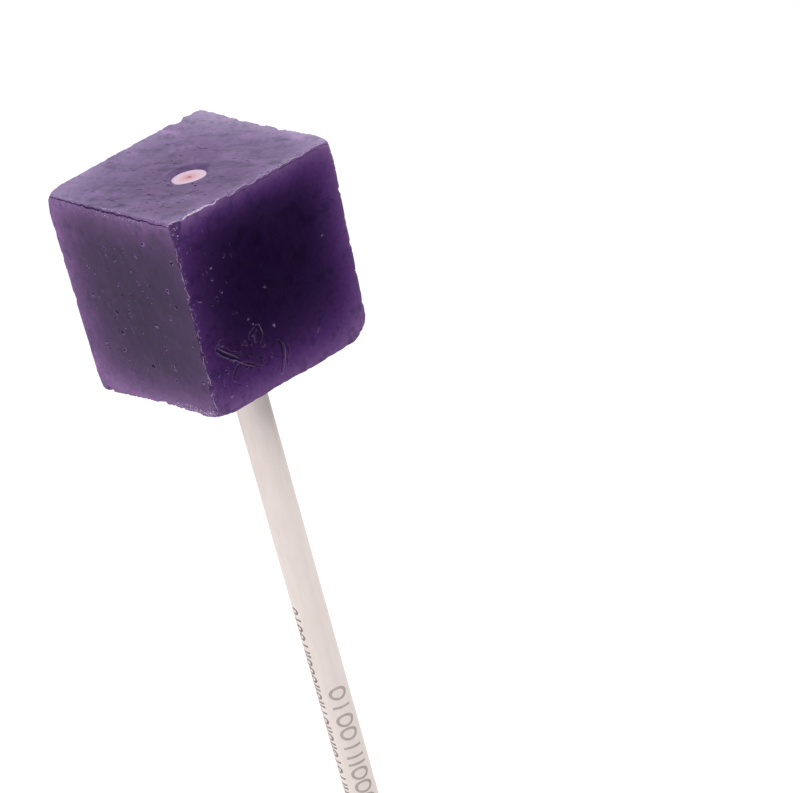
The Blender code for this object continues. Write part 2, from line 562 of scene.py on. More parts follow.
def skin_tube(side, points, width, lift, detail):
    """A thin tube that follows a line through points given on one side of the block."""
    line = []
    for first, second in zip(points, points[1:]):
        for step in range(detail):
            line.append(Vector(first).lerp(Vector(second), step / detail))
    line.append(Vector(points[-1]))
    smooth = [line[0]] + [(a + b * 2 + c) / 4 for a, b, c in zip(line, line[1:], line[2:])] + [line[-1]]
    curve = bpy.data.curves.new("tube", "CURVE")
    curve.dimensions = "3D"
    curve.bevel_depth = width / 2
    curve.bevel_resolution = 1
    curve.use_fill_caps = True
    spots = [on_skin(side, *point)[0] for point in smooth]
    spots = [place for place in spots if place is not None]
    spline = curve.splines.new("POLY")
    spline.points.add(len(spots) - 1)
    for index, place in enumerate(spots):
        share = index / (len(spots) - 1)
        thickness = 0.3 + 0.7 * math.sin(math.pi * share) ** 0.5
        spline.points[index].co = (*(place + SIDE_AXES[side] * lift), 1)
        spline.points[index].radius = thickness * rng.uniform(0.75, 1.1)
    tube = bpy.data.objects.new("tube", curve)
    bpy.context.scene.collection.objects.link(tube)
    select_only(tube)
    bpy.ops.object.convert(target="MESH")
    bpy.ops.object.mode_set(mode="EDIT")
    bpy.ops.mesh.select_all(action="SELECT")
    bpy.ops.mesh.remove_doubles(threshold=0.001)
    bpy.ops.mesh.normals_make_consistent(inside=False)
    bpy.ops.object.mode_set(mode="OBJECT")
    return tube


def groove(side, points, width, lift=0.0, detail=5):
    cut(block, skin_tube(side, points, width, lift, detail))


def ridge(side, points, width, paleness, lift=-0.02, detail=5):
    """A raised line, which the material paints pale as a painted highlight. It is kept aside until the skin is
    finished.
    """
    ridges.append((skin_tube(side, points, width, lift, detail), paleness))


# %% Creases on the top face
# Each line is the width in millimetres, for a ridge its paleness too, and then the points that it runs through.
CREASES = (
    (0.38, (3.9, -9.9), (4.4, -10.4), (5.0, -9.9), (5.6, -9.4), (6.4, -8.5), (6.8, -7.9), (7.5, -7.3)),
    (0.18, (4.3, -9.9), (4.6, -9.3), (5.4, -8.7), (6.0, -7.8), (6.7, -7.2)),
    (0.20, (7.6, -7.1), (8.2, -6.3), (9.1, -5.2), (9.5, -4.5)),
    (0.50, (7.7, -7.4), (7.8, -8.0), (8.2, -8.4), (8.8, -8.9), (9.3, -8.8)),
    (0.34, (4.2, -3.9), (4.6, -4.6), (4.9, -5.2), (5.4, -5.5)),
    (0.26, (4.2, -3.9), (4.9, -3.8), (5.7, -3.7), (6.4, -3.9), (7.2, -3.8)),
    (0.22, (4.8, -4.1), (5.4, -4.5), (6.3, -4.7)),
    (0.24, (5.6, -5.6), (6.1, -5.4)),
    (0.32, (7.3, -1.7), (7.8, -1.3), (8.6, -1.2), (9.6, -1.3), (10.8, -1.8), (11.6, -2.1)),
    (0.26, (8.6, -0.3), (9.4, -0.4), (10.2, -0.7), (11.0, -1.0)),
    (0.34, (8.7, -3.9), (9.2, -4.2)),
    (0.26, (8.5, -2.8), (9.0, -2.9)),
    (0.28, (3.6, -9.1), (3.7, -9.5), (4.0, -9.9)),
    (0.20, (7.2, -10.7), (7.7, -11.0)),
    (0.26, (8.8, -10.1), (9.2, -10.4)),
    (0.36, (8.3, -6.8), (8.6, -6.6)),
    (0.34, (7.5, -9.7), (7.9, -9.6)),
    (0.20, (1.4, -6.8), (1.6, -6.2)),
)
CREASE_LIPS = (
    (0.15, 0.12, (4.2, -10.2), (4.7, -9.7), (5.2, -9.3), (6.0, -8.4), (6.9, -7.5)),
    (0.16, 0.11, (8.0, -0.9), (8.6, -0.8), (9.6, -0.9), (10.8, -1.4), (11.9, -1.9)),
    (0.14, 0.10, (7.5, -7.5), (8.2, -6.7), (9.0, -5.5)),
    (0.14, 0.14, (4.1, -3.7), (4.9, -3.5), (5.7, -3.4)),
    (0.20, 0.22, (3.7, -4.5), (3.95, -4.35)),
)
for width, *points in CREASES:
    groove("top", points, width)
for width, paleness, *points in CREASE_LIPS:
    ridge("top", points, width, paleness)
print("creases cut;", len(block.data.polygons), "faces")


# %% Jagged lines under the rim
def near_edge(sides, at, side, inset):
    """A place on one side of the block, this far along one of its edges and this far in from it."""
    other = sides[0] if sides[1] == side else sides[1]
    return in_plane(side, edge_spot(sides, at) - planes[other][0] * inset)


def jagged_line(sides, side, low, high, inset, jitter):
    """Points along a stretch of an edge, on one of its sides, that jump about a little."""
    count = max(2, int((high - low) / 0.4))
    points = []
    for index in range(count + 1):
        at = low + (high - low) * index / count
        points.append(near_edge(sides, at, side, inset + rng.gauss(0, jitter)))
    return points


TIP_TOP, TIP_FRONT = ("tip", "top"), ("tip", "front")
groove("front", jagged_line(TIP_FRONT, "front", 0.2, 24.2, 0.20, 0.08), 0.32, lift=-0.04, detail=2)
groove("top", jagged_line(TIP_TOP, "top", 7.0, 24.3, 0.24, 0.04), 0.16, detail=2)
ridge("tip", jagged_line(TIP_TOP, "tip", 1.7, 7.5, 0.06, 0.03), 0.14, 0.8, detail=2)
ridge("tip", jagged_line(TIP_TOP, "tip", 7.3, 24.2, 0.04, 0.03), 0.11, 0.40, detail=2)
ridge("tip", [(-12.4, 24.1), (-11.5, 24.55), (-10.6, 24.95)], 0.16, 0.5)
at = 2.6
while at < 24.0:
    stretch = rng.uniform(0.6, 2.2)
    line = jagged_line(long_edge, "front", at, min(at + stretch, 24.8), rng.uniform(0.0, 0.2), 0.05)
    ridge("front", line, rng.uniform(0.08, 0.15), 0.22, detail=2)
    at += stretch + rng.uniform(0.1, 1.0)
print("rim lines cut;", len(block.data.polygons), "faces;", len(ridges), "ridges")

# %% [markdown]
# ## The stick's seat
# At the tip face the candy drew back a little round the end of the stick, which leaves a soft-edged recess. At the
# other end the stick simply leaves the candy. One turned cutter makes both: a cylinder a hair thinner than the
# stick, so that candy and paper meet with no gap, with a short wider cone for the recess.

# %% Cut the seat
RECESS_BOTTOM = STICK_RADIUS + 0.04
RECESS_HEIGHT = 1.2
RECESS_SLOPE = 1.5
SEAT_CLEARANCE = 0.02
recess_floor = stick_low.x + 0.06
block_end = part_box("candy")[1].x * BENCH + 1.0
bpy.ops.mesh.primitive_cylinder_add(
    vertices=96,
    radius=STICK_RADIUS - SEAT_CLEARANCE,
    depth=block_end - recess_floor,
    location=((block_end + recess_floor) / 2, STICK_Y, STICK_Z),
    rotation=(0, math.pi / 2, 0),
)
seat = bpy.context.view_layer.objects.active
cut(block, seat)
bpy.ops.mesh.primitive_cone_add(
    vertices=96,
    radius1=RECESS_BOTTOM + RECESS_HEIGHT * RECESS_SLOPE,
    radius2=RECESS_BOTTOM,
    depth=RECESS_HEIGHT,
    location=(recess_floor - RECESS_HEIGHT / 2, STICK_Y, STICK_Z),
    rotation=(0, math.pi / 2, 0),
)
cut(block, bpy.context.view_layer.objects.active)
print("seat cut;", len(block.data.polygons), "faces")

# %% [markdown]
# ## Facts about the skin, kept on the mesh
# The material needs three facts about every point, and each is kept on the mesh as an attribute.
#
# - crest: whether the point stands proud or lies deep. The material paints proud rims pale, partly as wear of hard
#   candy and partly as painted highlight, and paints shade into its grooves. The average slope towards the
#   neighbours says so: positive on a crest and negative in a groove.
# - on_tip, on_front and so on: which side of the cube the point belongs to, from 0 to 1, by the way it faces.
# - broken: 1 on the facet that snapped off.


# %% Crest, side and facet attributes
def keep_attribute(thing, name, values):
    attribute = thing.data.attributes.new(name, "FLOAT", "POINT")
    attribute.data.foreach_set("value", values.astype(np.float32))


def vertex_numbers(thing, kind):
    """The points or normals of a mesh as rows of three numbers."""
    numbers = np.empty(len(thing.data.vertices) * 3)
    thing.data.vertices.foreach_get(kind, numbers)
    return numbers.reshape(-1, 3)


def describe_skin(thing):
    points = vertex_numbers(thing, "co")
    normals = vertex_numbers(thing, "normal")
    count = len(points)
    ends = np.empty(len(thing.data.edges) * 2, int)
    thing.data.edges.foreach_get("vertices", ends)
    ends = ends.reshape(-1, 2)
    both = np.concatenate([ends, ends[:, ::-1]])
    share = np.maximum(np.bincount(both[:, 0], minlength=count), 1)

    def spread(values, times):
        """Averages each value with those of the neighbouring points."""
        for _ in range(times):
            values = 0.5 * values + 0.5 * np.bincount(both[:, 0], values[both[:, 1]], count) / share
        return values

    step = points[both[:, 1]] - points[both[:, 0]]
    length = np.linalg.norm(step, axis=1) + 1e-6
    slope = -np.einsum("ij,ij->i", step, normals[both[:, 0]]) / length
    crest = spread(np.bincount(both[:, 0], slope, count) / share, 1)
    keep_attribute(thing, "crest", crest)
    print("crest from", round(crest.min(), 2), "to", round(crest.max(), 2))

    smooth = np.stack([spread(normals[:, axis], 4) for axis in range(3)], axis=1)
    for side, axis in SIDE_AXES.items():
        keep_attribute(thing, "on_" + side, np.clip((smooth @ np.array(axis) - 0.35) / 0.35, 0, 1))

    broken = np.zeros(count)
    for place, normal in snapped_facets:
        on_plane = np.abs((points - np.array(place)) @ np.array(normal)) < 0.15
        broken[on_plane & (smooth @ np.array(normal) > 0.85)] = 1
    keep_attribute(thing, "broken", spread(broken, 1))


def keep_in_box(thing):
    """Keeps every point inside the box of the model's own candy, so also on or above the floor."""
    low, high = (np.array(corner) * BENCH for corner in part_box("candy"))
    points = np.clip(vertex_numbers(thing, "co"), low, high)
    thing.data.vertices.foreach_set("co", points.ravel())
    thing.data.update()


def count_triangles(thing):
    return sum(len(face.vertices) - 2 for face in thing.data.polygons)


keep_in_box(block)
describe_skin(block)

# %% [markdown]
# ## Fewer triangles where they aren't needed
# The skin is as fine in the middle of a face as on a chipped edge. A Decimate modifier joins triangles where the
# surface is nearly flat, so the chips stay sharp and the piece stays light. Loose scraps are then thrown away:
# splitting the mesh into its separate bodies and keeping the largest does that.

# %% Decimate and keep the largest body
MOST_TRIANGLES = 165000

before = count_triangles(block)
apply_modifier(block, "DECIMATE", ratio=min(1.0, MOST_TRIANGLES / before))
select_only(block)
bpy.ops.object.mode_set(mode="EDIT")
bpy.ops.mesh.select_all(action="SELECT")
bpy.ops.mesh.separate(type="LOOSE")
bpy.ops.object.mode_set(mode="OBJECT")
bodies = sorted(bpy.context.selected_objects, key=lambda body: len(body.data.vertices))
block = bodies[-1]
for scrap in bodies[:-1]:
    discard(scrap)
print("from", before, "to", count_triangles(block), "triangles;", len(bodies) - 1, "scraps dropped")

# %% [markdown]
# ## Flakes with painted glints
# Chipped candy glitters along its edges, where thin flakes stick up. They are far smaller than the skin's
# own faces, so they are added as tiny squashed balls of twenty faces, half sunk in the skin. The material makes
# them matt and paints the pale ones light, as painted glints; the dark ones it darkens. Most lie along an edge like
# slivers; the rest sit beside the pits. An attribute called fleck marks them for the material.

# %% Flake places
BRIGHT, PALE, SOFT, FAINT, GHOST, DARK = 0.8, 0.42, 0.22, 0.12, 0.015, -0.6
flake_places = {paleness: [] for paleness in (BRIGHT, PALE, SOFT, FAINT, GHOST, DARK)}


def lay_flake(paleness, place, normal, along, length, width):
    """A sliver that lies on the skin at this place, along this direction."""
    lengthwise = (along - normal * along.dot(normal)).normalized()
    across = normal.cross(lengthwise)
    axes = Matrix((lengthwise, across, normal)).transposed().to_4x4()
    shape = Matrix.Diagonal((length / 2, width / 2, min(width * 0.35, 0.03), 1))
    flake_places[paleness].append(Matrix.Translation(place) @ axes @ shape)


def add_flake(paleness, side, u, v, along, length, width):
    """A flake at two coordinates on one side of the block."""
    place, normal = on_skin(side, u, v)
    if place is not None:
        lay_flake(paleness, place, normal, along, length, width)


def random_direction():
    return Vector([rng.uniform(-1, 1) for _ in range(3)])


def edge_flakes(paleness, sides, side, count, stretch, insets, lengths, widths, straightness):
    """Flakes along a stretch of an edge, on one of its sides. Straight ones follow the edge."""
    start, end, _ = edges[sides]
    along = (end - start).normalized()
    for _ in range(count):
        u, v = near_edge(sides, rng.uniform(*stretch), side, rng.uniform(*insets))
        direction = along * straightness + random_direction()
        add_flake(paleness, side, u, v, direction, rng.uniform(*lengths), rng.uniform(*widths))


# Paleness, edge, side, count, then ranges in millimetres along the edge, in from it, of length and of width, and
# how straight the flakes lie.
EDGE_FLAKES = (
    (BRIGHT, TIP_TOP, "tip", 14, (1.7, 5.0), (0.0, 0.30), (0.3, 0.7), (0.07, 0.13), 5),
    (PALE, TIP_TOP, "tip", 40, (3.0, 24.0), (0.02, 0.30), (0.15, 0.5), (0.05, 0.09), 4),
    (FAINT, TIP_TOP, "tip", 40, (6.0, 23.0), (0.2, 1.3), (0.2, 0.7), (0.05, 0.09), 0.5),
    (PALE, TIP_FRONT, "front", 16, (9.0, 20.0), (0.4, 0.8), (0.08, 0.28), (0.06, 0.13), 1.0),
    (BRIGHT, TIP_FRONT, "tip", 9, (9.0, 17.0), (0.02, 0.2), (0.12, 0.3), (0.06, 0.12), 1.5),
    (PALE, TIP_FRONT, "tip", 30, (0.3, 24.0), (0.02, 0.30), (0.1, 0.35), (0.05, 0.10), 2.0),
    (FAINT, TIP_FRONT, "front", 40, (0.3, 24.0), (0.4, 1.2), (0.15, 0.5), (0.05, 0.10), 1.0),
    (SOFT, long_edge, "front", 34, (2.5, 24.8), (0.02, 0.4), (0.12, 0.45), (0.06, 0.12), 2.5),
    (DARK, long_edge, "front", 34, (2.5, 24.8), (0.02, 0.5), (0.15, 0.45), (0.08, 0.16), 1.5),
    (DARK, long_edge, "top", 34, (2.5, 24.8), (0.02, 0.5), (0.15, 0.45), (0.08, 0.16), 1.5),
    (FAINT, long_edge, "top", 30, (2.5, 24.8), (0.02, 0.3), (0.15, 0.4), (0.05, 0.12), 2.0),
    (BRIGHT, low_edge, "front", 12, (19.0, 23.4), (0.02, 0.7), (0.15, 0.4), (0.08, 0.14), 0.7),
    (PALE, low_edge, "front", 60, (15.0, 23.4), (0.05, 1.0), (0.15, 0.45), (0.06, 0.14), 0.7),
    (DARK, low_edge, "front", 30, (15.0, 23.4), (0.05, 1.2), (0.15, 0.45), (0.08, 0.16), 0.7),
    (FAINT, low_edge, "front", 60, (0.5, 23.0), (0.05, 0.8), (0.15, 0.4), (0.06, 0.12), 1.0),
    (PALE, ("tip", "back"), "tip", 24, (1.0, 24.0), (0.02, 0.6), (0.15, 0.5), (0.05, 0.10), 2.0),
    (PALE, ("tip", "floor"), "tip", 12, (0.5, 24.0), (0.02, 0.5), (0.10, 0.30), (0.05, 0.09), 1.0),
    (FAINT, ("front", "floor"), "front", 50, (0.3, 20.0), (0.05, 0.7), (0.15, 0.6), (0.06, 0.12), 3.0),
)
for row in EDGE_FLAKES:
    edge_flakes(*row)
for place, reach in pit_points:
    if rng.random() < 0.4:
        side = max(SIDE_AXES, key=lambda name: planes[name][0].dot(place) - planes[name][1])
        u, v = in_plane(side, place + random_direction().normalized() * (reach + 0.05))
        paleness = SOFT if side in ("front", "tip") else DARK
        add_flake(paleness, side, u, v, random_direction(), rng.uniform(0.12, 0.26), rng.uniform(0.08, 0.14))


# %% Strokes across the sides, and flakes on the broken facet
WIPED = Vector((0.0, 0.385, 0.923))
ACROSS_WIPED = Vector((0.0, 0.923, -0.385))


def scatter_strokes(paleness, side, count, centre, spread, along, lengths, widths):
    """Short strokes round a place on one side, roughly along this direction."""
    for _ in range(count):
        u, v = rng.gauss(centre[0], spread[0]), rng.gauss(centre[1], spread[1])
        direction = Vector(along) + random_direction() * 0.45
        add_flake(paleness, side, u, v, direction, rng.uniform(*lengths), rng.uniform(*widths))


for tip_tone, front_tone, top_tone, share in ((SOFT, FAINT, GHOST, 1), (DARK, DARK, DARK, 4)):
    scatter_strokes(tip_tone, "tip", 24 * share, (-1.0, 12.0), (7.0, 7.0), WIPED, (0.3, 1.3), (0.07, 0.13))
    scatter_strokes(tip_tone, "tip", 6 * share, (-8.5, 17.5), (2.5, 3.5), WIPED, (0.4, 1.0), (0.08, 0.15))
    scatter_strokes(front_tone, "front", 22 * share, (0.0, 12.0), (6.5, 6.5), (0, 0, 0), (0.15, 0.5), (0.07, 0.13))
    scatter_strokes(top_tone, "top", 10 * share, (-6.0, -8.5), (3.0, 2.0), (1, 0, 0), (0.3, 1.0), (0.08, 0.17))
    scatter_strokes(top_tone, "top", 12 * share, (6.5, -7.0), (2.6, 3.0), (0.8, 0.5, 0), (0.3, 1.2), (0.08, 0.18))
    for side in ("back", "stick_end", "floor"):
        scatter_strokes(top_tone, side, 6 * share, MIDDLE, (6.5, 6.5), (0, 0, 0), (0.3, 0.9), (0.06, 0.12))

for place, normal in snapped_facets:
    for _ in range(26):
        paleness = rng.choice((PALE, FAINT, DARK, DARK))
        aside = Vector([rng.gauss(0, spread) for spread in FACET_SPREAD])
        above = FACET_MIDDLE + aside + normal * 2
        hit, spot, skin_normal, _ = block.ray_cast(above, -normal)
        if hit:
            along = random_direction()
            lay_flake(paleness, spot, skin_normal, along, rng.uniform(0.1, 0.35), rng.uniform(0.07, 0.14))
print({paleness: len(places) for paleness, places in flake_places.items()}, "flakes")

# %% Join the ridges and flakes, and finish the candy
for paleness, places in flake_places.items():
    bpy.ops.mesh.primitive_ico_sphere_add(subdivisions=1, radius=1.0)
    ridges.append((copies_joined(bpy.context.view_layer.objects.active, places), paleness))
for thing, paleness in ridges:
    keep_attribute(thing, "fleck", np.full(len(thing.data.vertices), paleness))
select_only(block, *[thing for thing, _ in ridges])
bpy.ops.object.join()
keep_in_box(block)
back_to_metres(block, "grape_cube")
select_only(block)
bpy.ops.object.shade_smooth_by_angle(angle=math.radians(50))
bpy.ops.object.mode_set(mode="EDIT")
bpy.ops.mesh.select_all(action="SELECT")
bpy.ops.mesh.delete_loose()
bpy.ops.object.mode_set(mode="OBJECT")
print("candy has", count_triangles(block), "triangles")

# %% [markdown]
# ## The paper stick
# The stick is one long sheet of paper, rolled tight. A plain cylinder would look like plastic. So the ends are
# inset ring by ring, with the rings pushed in and out to hint at the layers, the middle is open, and the sheet's
# outer edge makes a tiny step along the whole stick.

# %% Roll the stick
STICK_SIDES = 96
PAPER = 0.07
CORE_RADIUS = 0.30
stick_length = stick_high.x - stick_low.x
bpy.ops.object.select_all(action="DESELECT")
bpy.ops.mesh.primitive_cylinder_add(
    vertices=STICK_SIDES,
    radius=STICK_RADIUS,
    depth=stick_length,
    end_fill_type="NGON",
    location=((stick_low.x + stick_high.x) / 2, STICK_Y, STICK_Z),
    rotation=(0, math.pi / 2, 0),
)
rod = bpy.context.view_layer.objects.active
bpy.ops.object.transform_apply(location=True, rotation=True, scale=True)


def select_end_face(thing, direction):
    """Selects the cap that looks this way along X."""
    bpy.ops.object.mode_set(mode="EDIT")
    bpy.ops.mesh.select_mode(type="FACE")
    bpy.ops.mesh.select_all(action="DESELECT")
    bpy.ops.object.mode_set(mode="OBJECT")
    caps = [face for face in thing.data.polygons if len(face.vertices) > 8 and face.normal.x * direction > 0.9]
    for cap in caps:
        cap.select = True
    bpy.ops.object.mode_set(mode="EDIT")


for direction in (-1, 1):
    select_end_face(rod, direction)
    bpy.ops.mesh.inset(thickness=0.08, depth=0.0)
    ring_count = 9
    ring_width = (STICK_RADIUS - 0.08 - CORE_RADIUS) / ring_count
    for ring in range(ring_count):
        pushed = 0.02 if ring % 2 == 0 else -0.02
        bpy.ops.mesh.inset(thickness=ring_width * 0.25, depth=-pushed)
        bpy.ops.mesh.inset(thickness=ring_width * 0.75, depth=0.0)
    bpy.ops.mesh.inset(thickness=0.05, depth=-0.2)
    bpy.ops.object.mode_set(mode="OBJECT")

apply_modifier(rod, "BEVEL", width=0.06, segments=2, limit_method="ANGLE", angle_limit=math.radians(60))
print("stick:", len(rod.data.polygons), "faces")


# %% The sheet's outer edge
STEP_ANGLE = math.radians(215)


def roll_step(thing):
    """Winds the section into a spiral: its radius shrinks by one paper's thickness in a turn, then steps back."""
    for vertex in thing.data.vertices:
        if from_stick(vertex.co) < STICK_RADIUS * 0.9:
            continue
        y = vertex.co.y - STICK_Y
        z = vertex.co.z - STICK_Z
        turn = (math.atan2(z, y) - STEP_ANGLE) / (2 * math.pi) % 1.0
        shrink = 1 - PAPER * turn / STICK_RADIUS
        vertex.co.y = STICK_Y + y * shrink
        vertex.co.z = STICK_Z + z * shrink


roll_step(rod)
back_to_metres(rod, "paper_stick")
select_only(rod)
bpy.ops.object.shade_smooth_by_angle(angle=math.radians(30))

# %% [markdown]
# ## Shader maths in plain Python
# A material is a network of nodes. The class below wraps one output socket, so that an expression such as
# (1 - mask) * 0.5 adds the Math nodes for it. Every other node comes from its node method.


# %% Wires
class Wire:
    """An output socket that Python's operators can calculate with."""

    def __init__(self, socket):
        self.socket = socket
        self.tree = socket.id_data

    def node(self, kind, settings=None, sockets=None, output=0):
        """Adds a node: its settings are set first, then its input sockets are linked or given values."""
        made = self.tree.nodes.new(kind)
        for name, value in (settings or {}).items():
            if name == "stops":
                self.set_stops(made.color_ramp, value)
            else:
                setattr(made, name, value)
        for key, value in (sockets or {}).items():
            feed(made.inputs[key], value)
        return Wire(made.outputs[output])

    @staticmethod
    def set_stops(ramp, stops):
        while len(ramp.elements) < len(stops):
            ramp.elements.new(0.5)
        for element, (place, colour) in zip(ramp.elements, stops):
            element.position = place
            element.color = (*colour, 1.0)

    def maths(self, operation, *values):
        return self.node("ShaderNodeMath", {"operation": operation}, dict(enumerate((self, *values))))

    def __add__(self, other):
        return self.maths("ADD", other)

    __radd__ = __add__

    def __mul__(self, other):
        return self.maths("MULTIPLY", other)

    __rmul__ = __mul__

    def __sub__(self, other):
        return self.maths("SUBTRACT", other)

    def __rsub__(self, other):
        return self.maths("MULTIPLY", -1.0) + other

    def __truediv__(self, other):
        return self.maths("DIVIDE", other)

    def least(self, other):
        return self.maths("MINIMUM", other)

    def most(self, other):
        return self.maths("MAXIMUM", other)

    def beyond(self, low, high):
        """0 below low and 1 above high, with a soft step between."""
        settings = {"interpolation_type": "SMOOTHSTEP"}
        return self.node("ShaderNodeMapRange", settings, {0: self, 1: low, 2: high, 3: 0.0, 4: 1.0})

    def fade(self, reach):
        """1 at zero, falling off over this distance."""
        return (self * (-1.0 / reach)).maths("EXPONENT")


def feed(socket, value):
    if isinstance(value, Wire):
        socket.id_data.links.new(value.socket, socket)
    else:
        socket.default_value = value


def colour_mix(mask, low, high, blend="MIX"):
    """low where the mask is 0 and high where it is 1. Colours are three numbers or wires."""
    low, high = (c if isinstance(c, Wire) else (*c, 1.0) for c in (low, high))
    settings = {"data_type": "RGBA", "blend_type": blend, "clamp_factor": True}
    return mask.node("ShaderNodeMix", settings, {0: mask, 6: low, 7: high}, output=2)


def noise(place, scale, detail=3.0, roughness=0.55):
    """Smooth noise from about 0 to 1, at this many spots per millimetre."""
    sockets = {"Vector": place, "Scale": scale, "Detail": detail, "Roughness": roughness}
    return place.node("ShaderNodeTexNoise", {"noise_dimensions": "3D"}, sockets)


def start_material(name, **uniform):
    """A Principled material, with its uniform sockets set, and object coordinates in millimetres."""
    material = bpy.data.materials.new(name)
    material.use_nodes = True
    shader = material.node_tree.nodes["Principled BSDF"]
    for socket_name, value in uniform.items():
        shader.inputs[socket_name.replace("_", " ")].default_value = value
    place = Wire(material.node_tree.nodes.new("ShaderNodeTexCoord").outputs["Object"])
    place = place.node("ShaderNodeVectorMath", {"operation": "SCALE"}, {0: place, "Scale": BENCH})
    return material, shader, place


print("shader helpers are ready")

# %% [markdown]
# ## Grape candy
# Hard candy lets light in. Deep in the cube it is swallowed, so the middle of a side is dark violet, but close to
# an edge light comes through from the next side and the colour turns lilac. Here that light is painted into the
# colour as a painted glow. How strong that glow is, and how far it reaches, differs from edge to edge. So each side
# has a look of its own: its deep, middle and rim colours, and for each neighbouring side the strength of the light
# that comes through it and its reach in millimetres. The looks also paint how each side is lit: the tip side is
# painted much lighter, as lit and with a sheen, and the front side a little lighter, as painted reflection, while
# the top side stays darkest. The distance to a neighbour comes from the six planes measured above.

# %% Looks of the six sides, with their painted light
MIDDLE_AT = 0.35
HIDDEN_LOOK = ((0.012, 0.003, 0.030), (0.070, 0.025, 0.120), (0.20, 0.11, 0.26))
LOOKS_WITH_PAINTED_LIGHT = {
    "floor": (*HIDDEN_LOOK, {side: (0.8, 2.2) for side in ("tip", "stick_end", "front", "back")}),
    "back": (*HIDDEN_LOOK, {side: (0.8, 2.2) for side in ("tip", "stick_end", "floor", "top")}),
    "stick_end": (*HIDDEN_LOOK, {side: (0.8, 2.2) for side in ("front", "back", "floor", "top")}),
    "top": (
        (0.0085, 0.0015, 0.022),
        (0.072, 0.025, 0.130),
        (0.185, 0.092, 0.250),
        {"stick_end": (1.0, 2.6), "tip": (0.98, 1.5), "back": (0.80, 2.1), "front": (0.34, 2.5)},
    ),
    "front": (
        (0.022, 0.004, 0.044),
        (0.082, 0.032, 0.118),
        (0.200, 0.100, 0.260),
        {"stick_end": (1.20, 2.2), "floor": (0.98, 2.6), "tip": (1.00, 2.0), "top": (0.14, 2.2)},
    ),
    "tip": (
        (0.108, 0.057, 0.162),
        (0.190, 0.125, 0.262),
        (0.340, 0.265, 0.415),
        {"back": (0.98, 3.0), "floor": (0.76, 3.6), "top": (0.60, 0.9), "front": (0.40, 1.3)},
    ),
}
HAZE = (0.19, 0.115, 0.27)
PALE_RIM_WEAR_AND_HIGHLIGHT = (0.50, 0.38, 0.60)
TOP_RIM_WEAR_AND_HIGHLIGHT = (0.10, 0.06, 0.15)
RIM_REACH = 0.8
FLECK_GLINT_COLOUR = (0.74, 0.64, 0.80)
BROKEN_COLOUR = (0.050, 0.018, 0.090)

# A tint multiplies the colour that it lies on.
STREAK_TINT = (0.62, 0.60, 0.66)
MOTTLE_TINT = (0.55, 0.50, 0.60)
SMUDGE_TINT = (0.58, 0.61, 0.66)
BLOOM_TINT = (1.42, 1.30, 1.34)
HOLLOW_PAINTED_SHADE = (0.25, 0.18, 0.30)
DARK_FLAKE_TINT = (0.12, 0.07, 0.16)


